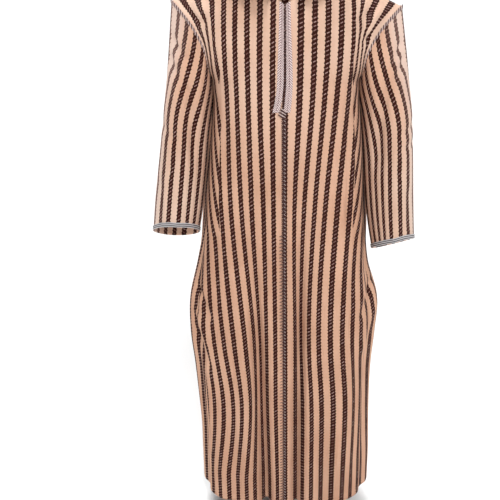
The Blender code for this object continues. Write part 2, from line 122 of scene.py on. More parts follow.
# Small creases on the body: a line in width and height, on the front or the back of the robe.
# Depth above nought is a ridge, below it a trough.
BODY_CREASES = creases_on(
    FRONT,
    # the left shoulder droops past the seam in slanting waves
    (0.268, 0.004, 0.158, -0.112, 0.008, 0.0065, -0.0085),
    (0.262, 0.016, 0.150, -0.085, 0.006, 0.006, 0.0065),
    (0.246, 0.018, 0.142, -0.062, 0.006, 0.0062, -0.0075),
    (0.228, 0.022, 0.136, -0.040, 0.004, 0.007, 0.005),
    (0.212, 0.026, 0.130, -0.020, 0.004, 0.007, -0.003),
    (0.171, -0.060, 0.160, -0.215, -0.004, 0.008, -0.0045),
    (0.156, -0.040, 0.140, -0.240, -0.004, 0.011, 0.003),
    (0.200, 0.030, 0.126, -0.004, 0.004, 0.0065, 0.003),
    # the right shoulder, with one long trough beside the seam
    (-0.262, 0.000, -0.180, -0.095, -0.004, 0.006, 0.006),
    (-0.252, 0.006, -0.166, -0.070, -0.006, 0.0065, -0.008),
    (-0.236, 0.018, -0.150, -0.050, -0.005, 0.0065, 0.006),
    (-0.215, 0.022, -0.140, -0.030, -0.004, 0.007, -0.003),
    (-0.166, -0.060, -0.158, -0.200, 0.004, 0.009, -0.0035),
    # below the armpits, with a long tuck at each side, and at the hips
    (-0.142, -0.150, -0.150, -0.600, 0.004, 0.006, -0.005),
    (0.152, -0.150, 0.158, -0.600, -0.004, 0.006, -0.005),
    (0.172, -0.200, 0.120, -0.330, 0.010, 0.012, -0.0035),
    (-0.166, -0.200, -0.120, -0.340, -0.010, 0.012, -0.003),
    (-0.232, -0.700, -0.192, -0.800, 0.004, 0.009, -0.0075),
    (-0.242, -0.760, -0.196, -0.870, 0.004, 0.009, 0.006),
    (-0.244, -0.820, -0.200, -0.950, 0.004, 0.010, -0.0075),
    (0.240, -0.680, 0.196, -0.800, -0.004, 0.0095, -0.0065),
    (0.242, -0.760, 0.200, -0.900, -0.004, 0.010, 0.005),
    (0.150, -0.430, 0.176, -0.760, 0.006, 0.014, -0.003),
    (-0.150, -0.450, -0.182, -0.780, -0.006, 0.014, -0.0034),
    # long shallow ones down the skirt
    (-0.020, -0.760, -0.010, -1.340, 0.005, 0.012, 0.0024),
    (0.088, -0.700, 0.094, -1.330, -0.006, 0.013, -0.005),
    (0.165, -0.800, 0.170, -1.350, 0.006, 0.014, 0.005),
    (-0.118, -0.780, -0.112, -1.350, 0.006, 0.014, 0.0045),
) + creases_on(
    BACK,
    # the sides swell behind the sleeves
    (0.178, -0.120, 0.210, -0.680, 0.0, 0.024, 0.012),
    (-0.174, -0.120, -0.210, -0.680, 0.0, 0.024, 0.013),
    # the back, from the shoulder blades down
    (0.240, -0.006, 0.160, -0.085, 0.006, 0.007, -0.005),
    (0.222, 0.010, 0.146, -0.060, 0.005, 0.007, 0.0036),
    (-0.238, -0.004, -0.158, -0.085, -0.006, 0.007, -0.005),
    (-0.220, 0.010, -0.146, -0.062, -0.005, 0.007, 0.0034),
    (0.168, -0.120, 0.110, -0.330, 0.012, 0.012, -0.004),
    (-0.166, -0.120, -0.106, -0.350, -0.012, 0.012, -0.004),
    (0.150, -0.220, 0.060, -0.430, 0.016, 0.014, -0.003),
    (-0.150, -0.230, -0.066, -0.450, -0.016, 0.014, -0.0028),
    (0.225, -0.700, 0.190, -0.840, -0.004, 0.011, -0.0036),
    (-0.228, -0.720, -0.190, -0.850, 0.004, 0.011, -0.0034),
    (0.010, -0.520, 0.016, -1.330, 0.008, 0.014, -0.0032),
    (-0.092, -0.700, -0.100, -1.340, 0.006, 0.014, 0.003),
    (0.140, -0.740, 0.150, -1.350, -0.006, 0.015, -0.0032),
)
CREASE_TAPER = 0.25     # share of a crease's length over which each end runs out
SEAM_REST = 0.012       # creases run out this far from an armhole


def ease(t):
    """Rise from 0 to 1 with soft ends."""
    t = np.clip(t, 0.0, 1.0)
    return t * t * (3.0 - 2.0 * t)


def hermite(t, a, b, slope_a, slope_b):
    return ((2 * t**3 - 3 * t**2 + 1) * a + (t**3 - 2 * t**2 + t) * slope_a
            + (3 * t**2 - 2 * t**3) * b + (t**3 - t**2) * slope_b)


def read(table, z):
    """The rows of a table at heights z, as a smooth curve through its rows."""
    rows = np.array(table)
    heights = rows[:, 0]
    z = np.asarray(z, dtype=float)
    k = np.clip(np.searchsorted(heights, z) - 1, 0, len(rows) - 2)
    span = (heights[k + 1] - heights[k])[..., None]
    slopes = np.gradient(rows, heights, axis=0)
    t = np.clip((z[..., None] - heights[k][..., None]) / span, 0.0, 1.0)
    return hermite(t, rows[k], rows[k + 1], slopes[k] * span, slopes[k + 1] * span)


def along_curve(points, t):
    """Points at t, 0 to 1, on a smooth curve through a few given points."""
    rows = np.array(points)
    place = np.clip(np.asarray(t, dtype=float), 0.0, 1.0) * (len(rows) - 1)
    k = np.minimum(place.astype(int), len(rows) - 2)
    slopes = np.gradient(rows, axis=0)
    return hermite((place - k)[..., None], rows[k], rows[k + 1], slopes[k], slopes[k + 1])


def ring_length(line):
    steps = np.linalg.norm(np.diff(line, axis=0), axis=1)
    return np.concatenate([[0.0], np.cumsum(steps)])


def at_length(line, run, length):
    """The place on a line of points at some length along it."""
    return np.stack([np.interp(length, run, line[:, k]) for k in range(3)], -1)


def fold_depth(folds, side, z, run):
    """How far each point of a ring is drawn in by the long folds that pass it."""
    total = np.zeros_like(run)
    for fold in folds:
        if fold.side != side or z > fold.start_z:
            continue
        down = (fold.start_z - z) / (fold.start_z - HEM_Z)
        centre = fold.top_along + (fold.hem_along - fold.top_along) * down
        strength = fold.depth * ease((fold.start_z - z) / (fold.start_z - fold.full_z))
        total += strength * np.exp(-((run - centre) / (0.6 * fold.half_width)) ** 2)
    return total


def half_ring(side, z):
    """Points from centre front round one side to centre back, with the long folds in."""
    _, half_right, half_left, front, back = read(BODY, z)
    half = half_left if side == LEFT else half_right
    angle = np.linspace(0.0, pi, RING_SAMPLES + 1)
    x = half * np.abs(np.sin(angle)) ** (2.0 / SQUARENESS)
    depth = np.where(angle < pi / 2, -front, back)
    y = depth * np.abs(np.cos(angle)) ** (2.0 / SQUARENESS)
    line = np.stack([x, y], axis=1)
    run = ring_length(line)
    tangent = np.gradient(line, axis=0)
    tangent /= np.linalg.norm(tangent, axis=1)[:, None]
    inward = np.stack([-tangent[:, 1], tangent[:, 0]], axis=1)
    from_front = fold_depth(FRONT_FOLDS, side, z, run)
    from_back = fold_depth(BACK_FOLDS, side, z, run[-1] - run)
    line = line + inward * (from_front + from_back)[:, None]
    line[0, 0] = line[-1, 0] = 0.0
    return line * (side, 1.0)


def ring_part(side, z, part, shares):
    """Points of one piece's share of a half ring at height z."""
    line = half_ring(side, z)
    run = ring_length(line)
    gore = GORE_HEM * (ARMPIT_Z - z) / (ARMPIT_Z - HEM_Z)
    side_place = run[RING_SAMPLES // 2]
    gore_start = min(side_place - gore / 2, PANEL_HALF)
    gore_end = max(side_place + gore / 2, run[-1] - PANEL_HALF)
    place = {
        "front": gore_start * shares,
        "gore": gore_start + (gore_end - gore_start) * shares,
        "back": run[-1] - (run[-1] - gore_end) * shares,
    }[part]
    x, y = np.interp(place, run, line[:, 0]), np.interp(place, run, line[:, 1])
    return np.stack([x, y, np.full_like(x, z)], axis=1)


def armhole(side, points, t):
    """Points of the armhole, with the left one reaching out and down a little."""
    place = along_curve(points, t)
    if side == LEFT:
        place[..., 0] += LEFT_ARMHOLE_OUT + (LEFT_TIP_OUT - LEFT_ARMHOLE_OUT) * t
        place[..., 2] -= LEFT_TIP_DROP * t
    return place * (side, 1.0, 1.0)


def top_edge(side, neck, column):
    """Points of a panel's top edge: the neckline, then the shoulder seam."""
    on_neck = along_curve(neck, column / NECK_COLUMNS) * (side, 1.0, 1.0)
    start = np.array(neck[-1]) * (side, 1.0, 1.0)
    end = armhole(side, ARMHOLE_FRONT, np.array(1.0))
    t = ((column - NECK_COLUMNS) / (PANEL_COLUMNS - NECK_COLUMNS))[..., None]
    return np.where(column[..., None] <= NECK_COLUMNS, on_neck, start + (end - start) * t)


def panel(side, part, shares):
    """Rows of points of a front or back half, from the hem up to the shoulder."""
    hole, neck = {"front": (ARMHOLE_FRONT, NECK_FRONT), "back": (ARMHOLE_BACK, NECK_BACK)}[part]
    rows = [ring_part(side, z, part, shares) for z in np.linspace(HEM_Z, ARMPIT_Z, LOWER_ROWS + 1)]
    first = BRAID_WIDTH / PANEL_HALF
    beyond = 1.0 + (shares - first) / (1.0 - first) * (PANEL_COLUMNS - 1)
    column = np.where(shares < first, shares / first, beyond)
    top = top_edge(side, neck, column)
    bottom = rows[-1].copy()
    bottom[-1] = armhole(side, hole, np.array(0.0))
    s = shares[:, None]
    for t in np.linspace(0.0, 1.0, UPPER_ROWS + 1)[1:]:
        edge = armhole(side, hole, np.array(t))
        centre = bottom[0] + (top[0] - bottom[0]) * t
        reach = np.minimum(column, PANEL_COLUMNS - column) * (1.0 - t)
        above = sum(top_edge(side, neck, column + reach * n / 3) for n in range(-3, 4)) / 7
        straight = bottom + (above - bottom) * t
        across = centre + (edge - centre) * s
        low = bottom[0] + (bottom[-1] - bottom[0]) * s
        high = top[0] + (top[-1] - top[0]) * s
        rows.append(straight + across - (low + (high - low) * t))
    return np.array(rows)


def way_out(places):
    """The way out of the body's cloth at each place, which also leans up over the shoulders."""
    width, depth, middle = 0.19, 0.13, -0.006
    x = places[..., 0] / width**2
    y = (places[..., 1] - middle) / depth**2
    flat = np.stack([x, y, np.zeros_like(x)], axis=-1)
    flat /= np.linalg.norm(flat, axis=-1, keepdims=True) + 1e-9
    up = ease((places[..., 2] + 0.12) / 0.16)[..., None]
    way = flat * (1.0 - 0.7 * up) + np.array([0.0, 0.0, 1.0]) * up
    return way / np.linalg.norm(way, axis=-1, keepdims=True)


def armhole_distance(places):
    """How far each place is from the nearer armhole seam."""
    t = np.linspace(0.0, 1.0, 50)
    seam = np.concatenate([armhole(side, hole, t) for side in (LEFT, RIGHT)
                           for hole in (ARMHOLE_FRONT, ARMHOLE_BACK)])
    flat = places.reshape(-1, 3)
    nearest = [np.min(np.linalg.norm(seam - place, axis=1)) for place in flat]
    return np.array(nearest).reshape(places.shape[:-1])


def crease(places, ways, creases):
    """The places moved along their ways out by a list of soft ridges and troughs."""
    total = np.zeros(places.shape[:-1])
    for c in creases:
        start = np.array([c.x0, c.z0])
        line = np.array([c.x1, c.z1]) - start
        length = np.linalg.norm(line)
        here = places[..., [0, 2]] - start
        along = here @ line / length**2
        across = here @ np.array([-line[1], line[0]]) / length - c.bow * 4 * along * (1 - along)
        ends = ease(along / CREASE_TAPER) * ease((1 - along) / CREASE_TAPER)
        facing = ease(-c.face * ways[..., 1] * 2.5)
        total += c.depth * np.exp(-((across / c.half_width) ** 2)) * ends * facing
    rest = ease(armhole_distance(places) / SEAM_REST)
    return places + ways * (total * rest)[..., None]


def cloth_lengths(rows):
    """How far up the cloth each point lies, measured along its own thread."""
    steps = np.linalg.norm(np.diff(rows, axis=0), axis=2)
    return np.concatenate([np.zeros((1, rows.shape[1])), np.cumsum(steps, axis=0)])


def add(name, data):
    """A new object in the scene."""
    thing = bpy.data.objects.new(name, data)
    bpy.context.scene.collection.objects.link(thing)
    return thing


def sheet_piece(name, material, rows, across, along, middle, wall=CLOTH, closed=False, tuck=None):
    """A smooth sheet through rows of points, with its place on the flat cloth as its UV map.

    Its outer face turns away from the middle, and its wall goes inward from there. A tuck is a
    column, and the cloth lost across it in each row.
    """
    high, wide = rows.shape[0] - 1, rows.shape[1] - 1
    across, along = (np.broadcast_to(places, rows.shape[:2]) for places in (across, along))
    sheet = bmesh.new()
    bmesh.ops.create_grid(sheet, x_segments=wide, y_segments=high, size=0.5, calc_uvs=True)
    flat = sheet.loops.layers.uv.verify()
    spot = {}
    for vert in sheet.verts:
        i, j = round((vert.co.x + 0.5) * wide), round((vert.co.y + 0.5) * high)
        spot[vert] = (i, j)
    for face in sheet.faces:
        past_tuck = tuck and min(spot[vert][0] for vert in face.verts) >= tuck[0]
        for loop in face.loops:
            i, j = spot[loop.vert]
            loop[flat].uv = (across[j, i] + (tuck[1][j] if past_tuck else 0.0), along[j, i])
    for vert, (i, j) in spot.items():
        vert.co = rows[j, i]
    if closed:
        bmesh.ops.remove_doubles(sheet, verts=sheet.verts, dist=1e-5)
    sheet.normal_update()
    outward = sum(face.normal.dot(face.calc_center_median() - Vector(middle)) for face in sheet.faces)
    if outward < 0.0:
        bmesh.ops.reverse_faces(sheet, faces=sheet.faces)
    mesh = bpy.data.meshes.new(name)
    sheet.to_mesh(mesh)
    sheet.free()
    mesh.shade_smooth()
    mesh.materials.append(material)
    piece = add(name, mesh)
    inward = piece.modifiers.new("wall", "SOLIDIFY")
    inward.thickness, inward.offset, inward.use_rim = wall, -1.0, True
    return piece


class Value:
    """A number in a material, which takes part in plain sums."""

    def __init__(self, looks, socket):
        self.looks, self.socket = looks, socket

    def __add__(self, other):
        return self.looks.sum("ADD", self, other)

    __radd__ = __add__

    def __sub__(self, other):
        return self.looks.sum("SUBTRACT", self, other)

    def __rsub__(self, other):
        return self.looks.sum("SUBTRACT", other, self)

    def __mul__(self, other):
        return self.looks.sum("MULTIPLY", self, other)

    def __truediv__(self, other):
        return self.looks.sum("DIVIDE", self, other)


class Looks:
    """One material: its nodes, the sums between them, and its finished surface."""

    def __init__(self, name):
        self.material = bpy.data.materials.new(name)
        self.material.use_nodes = True
        self.tree = self.material.node_tree
        self.surface = self.tree.nodes["Principled BSDF"]

    def node(self, kind, settings=None, **values):
        made = self.tree.nodes.new(kind)
        for key, value in (settings or {}).items():
            setattr(made, key, value)
        for key, value in values.items():
            self.feed(made.inputs[key.replace("_", " ")], value)
        return made

    def feed(self, socket, value):
        if isinstance(value, Value):
            self.tree.links.new(value.socket, socket)
        elif isinstance(value, bpy.types.NodeSocket):
            self.tree.links.new(value, socket)
        else:
            socket.default_value = value

    def sum(self, operation, *terms):
        made = self.tree.nodes.new("ShaderNodeMath")
        made.operation = operation
        for socket, term in zip(made.inputs, terms):
            self.feed(socket, term)
        return Value(self, made.outputs[0])

    def step(self, low, high, value):
        """Rises smoothly from 0 at low to 1 at high."""
        made = self.node("ShaderNodeMapRange", {"interpolation_type": "SMOOTHSTEP"},
                         Value=value, From_Min=low, From_Max=high)
        return Value(self, made.outputs["Result"])

    def mix(self, share, first, second):
        made = self.node("ShaderNodeMix", {"data_type": "RGBA"}, Factor=share)
        for socket, colour in ((made.inputs[6], first), (made.inputs[7], second)):
            self.feed(socket, (*colour, 1.0) if isinstance(colour, tuple) else colour)
        return made.outputs[2]

    def noise(self, place, scale, detail=2.0):
        made = self.node("ShaderNodeTexNoise", Vector=place, Scale=scale, Detail=detail)
        return Value(self, made.outputs[0])

    def random(self, first, second):
        """A steady random number for each pair of whole numbers."""
        pair = self.node("ShaderNodeCombineXYZ", X=first, Y=second).outputs[0]
        made = self.node("ShaderNodeTexWhiteNoise", {"noise_dimensions": "2D"}, Vector=pair)
        return Value(self, made.outputs["Value"])

    def flat_place(self):
        """The place on the flat cloth: across and along, in metres, and both as a vector."""
        spot = self.node("ShaderNodeUVMap").outputs[0]
        parts = self.node("ShaderNodeSeparateXYZ", Vector=spot)
        return Value(self, parts.outputs[0]), Value(self, parts.outputs[1]), spot

    def bump(self, height, distance):
        return self.node("ShaderNodeBump", Height=height, Distance=distance).outputs[0]

    def finish(self, **values):
        """Sets the surface's values and gives the material."""
        for key, value in values.items():
            self.feed(self.surface.inputs[key.replace("_", " ")], value)
        return self.material


REPEAT = 0.031          # from one dark band to the next
BAND_HALF = 0.0075      # half the dark band
HIGHLIGHT_NARROWER = 0.0014  # how much narrower half a dark band is under the painted highlight
BAND_BULGE = 0.0015     # how far its edge swells between two floats
BAND_STRAY = 0.0011     # how far it wanders off its line
EDGE_BLUR = 0.00035     # half the soft edge between dark and light
FLOAT_PITCH = 0.0096    # from one float to the next
FLOAT_SLANT = 0.55
FLOAT_STAGGER = 0.37    # share of the pitch by which floats of neighbouring bands differ
FLOAT_HALF_WIDE = 0.0033
FLOAT_HALF_TALL = 0.155  # share of the pitch
THREAD, TWILL = 0.0009, 0.0026
RELIEF = 0.0006
ABOVE_NOUGHT = 100.5    # keeps the numbers of bands and floats above nought
PEACH, SAND = (0.76, 0.45, 0.31), (0.64, 0.345, 0.225)     # the light band, lower down
LIT_CREAM, LIT_BUFF = (0.84, 0.60, 0.47), (0.74, 0.47, 0.34)       # and a paler copy, a painted highlight over the chest and shoulders and low on the sleeves
MAROON, RUST = (0.034, 0.0070, 0.0040), (0.110, 0.030, 0.018)
# pale tones of the painted highlight along the sleeves' outer side, for the light and the dark bands
HIGHLIGHT_PALE, HIGHLIGHT_DARK = (0.84, 0.70, 0.63), (0.30, 0.17, 0.14)
FLOAT_PALE, FLOAT_DULL = (0.47, 0.29, 0.26), (0.17, 0.075, 0.060)
BARE_FIBRE, TWILL_SHADE = (0.95, 0.78, 0.64), (0.46, 0.25, 0.16)


def striped_cloth(name, painted_highlight=None, lit_from=-0.50, lit_to=0.04):
    """Handwoven striped cloth, whose light band turns from peach to a paler cream between two heights: a
    painted highlight.

    The second argument gives, from its place across, how strong a pale painted highlight is there.
    """
    looks = Looks(name)
    u, v, spot = looks.flat_place()
    phase = u / REPEAT + ABOVE_NOUGHT
    number = looks.sum("FLOOR", phase)
    wander = looks.noise(spot, 38.0) - 0.5
    across = (phase - number - 0.5) * REPEAT + wander * BAND_STRAY
    rise = (v - across * FLOAT_SLANT) / FLOAT_PITCH + number * FLOAT_STAGGER + wander * 0.5 + 50.0
    cell = looks.sum("FLOOR", rise)
    within = looks.sum("ABSOLUTE", rise - cell - 0.5)
    off_centre = looks.sum("ABSOLUTE", across)
    # how strong the painted highlight is here; it also thins the dark bands
    highlight_share = painted_highlight(looks, looks.sum("ABSOLUTE", u)) if painted_highlight else 0.0
    edge = BAND_HALF - BAND_BULGE + within * within * 4.0 * BAND_BULGE * 1.6 - highlight_share * HIGHLIGHT_NARROWER
    band = 1.0 - looks.step(-EDGE_BLUR, EDGE_BLUR, off_centre - edge)
    float_width = 1.0 - looks.step(FLOAT_HALF_WIDE - 0.0007, FLOAT_HALF_WIDE + 0.0003, off_centre)
    float_height = 1.0 - looks.step(FLOAT_HALF_TALL - 0.09, FLOAT_HALF_TALL + 0.05, within)
    fresh = looks.step(0.30, 1.25, looks.random(number, cell) * 0.85 + looks.noise(spot, 9.0) * 0.5)
    dash = float_width * float_height
    worn = looks.noise(spot, 5.0, 4.0)
    fibre = looks.noise(looks.node("ShaderNodeMapping", Vector=spot, Scale=(1.0, 0.06, 1.0)).outputs[0],
                        1500.0, 3.0)
    # painted highlight: between two heights the light band turns to its paler cream copy, standing in for
    # stronger light there
    body = looks.node("ShaderNodeTexCoord").outputs["Object"]
    height = Value(looks, looks.node("ShaderNodeSeparateXYZ", Vector=body).outputs[2])
    painted_light_share = looks.step(lit_from, lit_to, height)
    peach = looks.mix(looks.step(0.3, 0.7, worn), PEACH, SAND)
    light = looks.mix(painted_light_share, peach, looks.mix(looks.step(0.3, 0.7, worn), LIT_CREAM, LIT_BUFF))
    light = looks.mix(looks.step(0.45, 0.75, fibre) * 0.22, light, BARE_FIBRE)
    twill = looks.sum("SINE", (u + v * 0.9) * (2 * pi / TWILL)) * 0.5 + 0.5
    light = looks.mix(twill * 0.16, light, TWILL_SHADE)
    dark = looks.mix(looks.step(0.5, 0.8, fibre) * 0.7, MAROON, RUST)
    pale = looks.mix(fresh, FLOAT_DULL, FLOAT_PALE)
    dark = looks.mix(dash, dark, pale)
    # painted highlight: light and dark bands turn pale along the sleeves' outer side
    if painted_highlight:
        light = looks.mix(highlight_share * 0.75, light, HIGHLIGHT_PALE)
        dark = looks.mix(highlight_share * 0.55, dark, HIGHLIGHT_DARK)
    woven = looks.mix(band, light, dark)
    warp = looks.sum("SINE", u * (2 * pi / THREAD))
    weft = looks.sum("SINE", v * (2 * pi / (THREAD * 1.6)))
    puff = looks.step(BAND_HALF, REPEAT / 2, off_centre)
    weave = warp * 0.10 + warp * weft * 0.08 + twill * 0.25 + fibre * 0.25
    relief = dash * 0.9 + band * (0.35 + within * 0.4) + puff * 1.8 + weave
    return looks.finish(Base_Color=woven, Roughness=0.92 - dash * 0.12, Specular_IOR_Level=0.15,
                        Sheen_Weight=0.02, Sheen_Roughness=0.5, Normal=looks.bump(relief, RELIEF))


# Where the first six dark bands beside the centre line hang across the front, at some heights
BANDS = {
    RIGHT: (
        (-1.27, 0.021, 0.044, 0.061, 0.085, 0.108, 0.134),
        (-1.01, 0.025, 0.048, 0.065, 0.078, 0.091, 0.116),
        (-0.86, 0.025, 0.048, 0.066, 0.079, 0.100, 0.130),
        (-0.45, 0.028, 0.051, 0.080, 0.105, 0.131, 0.156),
        (-0.22, 0.028, 0.057, 0.083, 0.110, 0.132, 0.158),
        (0.00, 0.024, 0.053, 0.084, 0.111, 0.138, 0.165),
    ),
    LEFT: (
        (-1.27, 0.030, 0.048, 0.073, 0.101, 0.131, 0.163),
        (-1.01, 0.029, 0.046, 0.070, 0.097, 0.129, 0.162),
        (-0.86, 0.028, 0.041, 0.062, 0.087, 0.118, 0.150),
        (-0.45, 0.023, 0.046, 0.072, 0.097, 0.127, 0.160),
        (-0.22, 0.033, 0.062, 0.089, 0.117, 0.147, 0.170),
        (0.00, 0.036, 0.068, 0.100, 0.131, 0.158, 0.184),
    ),
}
SIDE_CROWDING = 1.1     # beyond those bands the cloth is this much fuller than the ring
TUCK_COLUMN = {RIGHT: 36, LEFT: 38}     # a long tuck below the armpit, where stripes meet at a slant
TUCK_REPEATS = {RIGHT: 3, LEFT: 4}
TUCK_TOP_Z, TUCK_HEIGHT = -0.12, 0.44
ARMHOLE_X, ARMHOLE_WIDE = 0.150, 0.035      # outside of this the stripes keep to the armhole's edge
ARMHOLE_Z, ARMHOLE_TALL = -0.34, 0.15


def front_across(side, rows):
    """Where each point of a front half lies across the flat cloth, from its bands or its column."""
    across = np.zeros(rows.shape[:2])
    cloth_at = np.arange(7) * REPEAT
    for j, row in enumerate(rows):
        bands = read(BANDS[side], row[0, 2])[1:]
        out = np.maximum.accumulate(np.abs(row[:, 0]))
        run = ring_length(row)
        last = np.interp(bands[-1], out, run)
        inner = np.interp(out, np.concatenate([[0.0], bands]), cloth_at)
        beyond = cloth_at[-1] + (run - last) * SIDE_CROWDING
        across[j] = np.where(run < last, inner, beyond)
    by_column = np.linspace(0.0, PANEL_HALF, rows.shape[1])[None, :]
    by_armhole = (ease((np.abs(rows[..., 0]) - ARMHOLE_X) / ARMHOLE_WIDE)
                  * ease((rows[..., 2] - ARMHOLE_Z) / ARMHOLE_TALL))
    return side * (across * (1.0 - by_armhole) + by_column * by_armhole)


cloth = striped_cloth("striped_cloth")
shares = np.linspace(0.0, 1.0, FRONT_COLUMNS + 1)
front_rows = {}
for side, word in SIDES:
    rows = panel(side, "front", shares)
    rows = crease(rows, way_out(rows), BODY_CREASES)
    rows[:, 0, 0] = 0.0
    front_rows[side] = rows
    fallen = np.clip((TUCK_TOP_Z - rows[:, 0, 2]) / TUCK_HEIGHT, 0.0, 1.0)
    tuck = (TUCK_COLUMN[side], side * TUCK_REPEATS[side] * REPEAT * fallen)
    piece = sheet_piece(f"front_{word}_cloth", cloth, rows, front_across(side, rows),
                        cloth_lengths(rows), BODY_MIDDLE, tuck=tuck)
    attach(piece, "root")
    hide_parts(f"front_{word}")


# Back
# One width of the same cloth, from side seam to side seam, sewn to the fronts along the shoulders.

both = np.concatenate([-shares[::-1], shares[1:]])
back_left, back_right = panel(LEFT, "back", shares), panel(RIGHT, "back", shares)
rows = np.concatenate([back_right[:, ::-1], back_left[:, 1:]], axis=1)
rows = crease(rows, way_out(rows), BODY_CREASES)
piece = sheet_piece("back_cloth", cloth, rows, both * PANEL_HALF, cloth_lengths(rows), BODY_MIDDLE)
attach(piece, "root")
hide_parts("back")


# Side gores
# A tall triangle of the cloth at each side, cut along the stripes down its middle, from the armpit
# to the hem.

GORE_COLUMNS = 24
GORE_TOP_Z = ARMPIT_Z - 0.002
gore_shares = np.linspace(0.0, 1.0, GORE_COLUMNS + 1)
for side, word in SIDES:
    heights = np.linspace(HEM_Z, GORE_TOP_Z, LOWER_ROWS + 1)
    rows = np.array([ring_part(side, z, "gore", gore_shares) for z in heights])
    rows = crease(rows, way_out(rows), BODY_CREASES)
    run = np.array([ring_length(row) for row in rows])
    across = (run - run[:, -1:] / 2) * side
    piece = sheet_piece(f"gore_{word}_cloth", cloth, rows, across, cloth_lengths(rows), BODY_MIDDLE)
    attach(piece, "root")
    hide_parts(f"gore_{word}")


# Sleeves
# Each is one straight tube of the cloth with the stripes lengthwise, sewn into the armhole and
# hanging down past the elbow, a little forward.

Cut = namedtuple("Cut", "z outer inner middle_y half_depth")
SLEEVE = {
    RIGHT: (
        Cut(-0.62, 0.343, 0.229, -0.047, 0.068),
        Cut(-0.46, 0.323, 0.208, -0.038, 0.070),
        Cut(-0.36, 0.307, 0.198, -0.030, 0.073),
        Cut(-0.26, 0.292, 0.190, -0.020, 0.075),
        Cut(-0.19, 0.283, 0.180, -0.010, 0.078),
        Cut(-0.02, 0.262, 0.165, 0.000, 0.080),
    ),
    LEFT: (
        Cut(-0.66, 0.337, 0.230, -0.049, 0.068),
        Cut(-0.46, 0.321, 0.209, -0.038, 0.070),
        Cut(-0.36, 0.314, 0.204, -0.030, 0.073),
        Cut(-0.26, 0.306, 0.197, -0.020, 0.075),
        Cut(-0.19, 0.297, 0.184, -0.010, 0.078),
        Cut(-0.03, 0.271, 0.169, 0.000, 0.080),
    ),
}
ARMHOLE_REACH = 0.45    # share of the sleeve that still follows the armhole's form
Cuff = namedtuple("Cuff", "z forward_tilt side_tilt")
CUFF = {RIGHT: Cuff(-0.565, 0.54, 0.0), LEFT: Cuff(-0.598, 0.45, 0.24)}
SLEEVE_WIDTH = 14 * REPEAT
SLEEVE_COLUMNS, SLEEVE_ROWS = 96, 90
SLEEVE_CREASES = {
    LEFT: creases_on(
        FRONT,
        (0.305, -0.060, 0.222, -0.170, 0.006, 0.009, -0.008),
        (0.300, -0.110, 0.214, -0.230, 0.006, 0.010, -0.0075),
        (0.236, -0.150, 0.228, -0.420, -0.006, 0.011, -0.011),
        (0.330, -0.270, 0.250, -0.320, 0.004, 0.009, -0.0035),
        (0.332, -0.330, 0.262, -0.350, -0.004, 0.008, -0.003),
        (0.226, -0.350, 0.290, -0.420, 0.004, 0.010, -0.0035),
        (0.300, -0.420, 0.296, -0.580, 0.004, 0.010, -0.0035),
        (0.262, -0.440, 0.266, -0.600, 0.004, 0.010, 0.003),
    ) + creases_on(
        BACK,
        (0.310, -0.100, 0.215, -0.200, 0.006, 0.010, -0.0045),
        (0.325, -0.250, 0.215, -0.340, 0.006, 0.012, -0.005),
        (0.325, -0.320, 0.225, -0.390, 0.006, 0.011, -0.004),
        (0.285, -0.400, 0.290, -0.610, 0.004, 0.012, -0.004),
    ),
    RIGHT: creases_on(
        FRONT,
        (-0.290, -0.060, -0.206, -0.150, -0.006, 0.009, -0.008),
        (-0.292, -0.100, -0.205, -0.230, -0.006, 0.010, -0.0075),
        (-0.228, -0.140, -0.222, -0.400, 0.006, 0.011, -0.010),
        (-0.320, -0.260, -0.240, -0.330, -0.004, 0.010, -0.0035),
        (-0.222, -0.330, -0.285, -0.410, -0.004, 0.010, -0.0035),
        (-0.304, -0.400, -0.312, -0.560, 0.004, 0.011, -0.0035),
        (-0.262, -0.420, -0.268, -0.580, 0.004, 0.011, 0.003),
    ) + creases_on(
        BACK,
        (-0.300, -0.090, -0.205, -0.200, -0.006, 0.010, -0.0045),
        (-0.315, -0.240, -0.208, -0.330, -0.006, 0.012, -0.005),
        (-0.318, -0.310, -0.220, -0.390, -0.006, 0.011, -0.004),
        (-0.280, -0.390, -0.290, -0.580, 0.004, 0.012, -0.004),
    ),
}


def on_section(side, z, angle):
    _, outer, inner, middle_y, half_depth = np.moveaxis(read(SLEEVE[side], z), -1, 0)
    middle_x = 0.5 * (outer + inner)
    half = 0.5 * (outer - inner)
    return np.stack([side * (middle_x + half * np.cos(angle)), middle_y - half_depth * np.sin(angle)], -1)


def cuff_height(side, angle):
    """The cuff's edge, higher at the front and, on the left, at the outside."""
    cuff = CUFF[side]
    _, outer, inner, _, half_depth = read(SLEEVE[side], cuff.z)
    forward = half_depth * np.sin(angle)
    outward = 0.5 * (outer - inner) * np.cos(angle)
    return cuff.z + cuff.forward_tilt * forward + cuff.side_tilt * outward


def sleeve_rows(side):
    """Rings of a sleeve from its cuff up to the armhole."""
    angle = np.linspace(0.0, 2 * pi, SLEEVE_COLUMNS + 1)
    front_hole = armhole(side, ARMHOLE_FRONT, np.clip(1 - angle / pi, 0, 1))
    back_hole = armhole(side, ARMHOLE_BACK, np.clip(angle / pi - 1, 0, 1))
    start = np.where((angle <= pi)[:, None], front_hole, back_hole)
    end_z = cuff_height(side, angle)
    offset = start[:, :2] - on_section(side, start[:, 2], angle)
    rows = []
    for t in np.linspace(1.0, 0.0, SLEEVE_ROWS + 1):
        z = start[:, 2] + (end_z - start[:, 2]) * t
        flat = on_section(side, z, angle) + offset * (1.0 - ease(t / ARMHOLE_REACH))
        rows.append(np.column_stack([flat, z]))
    return np.array(rows)


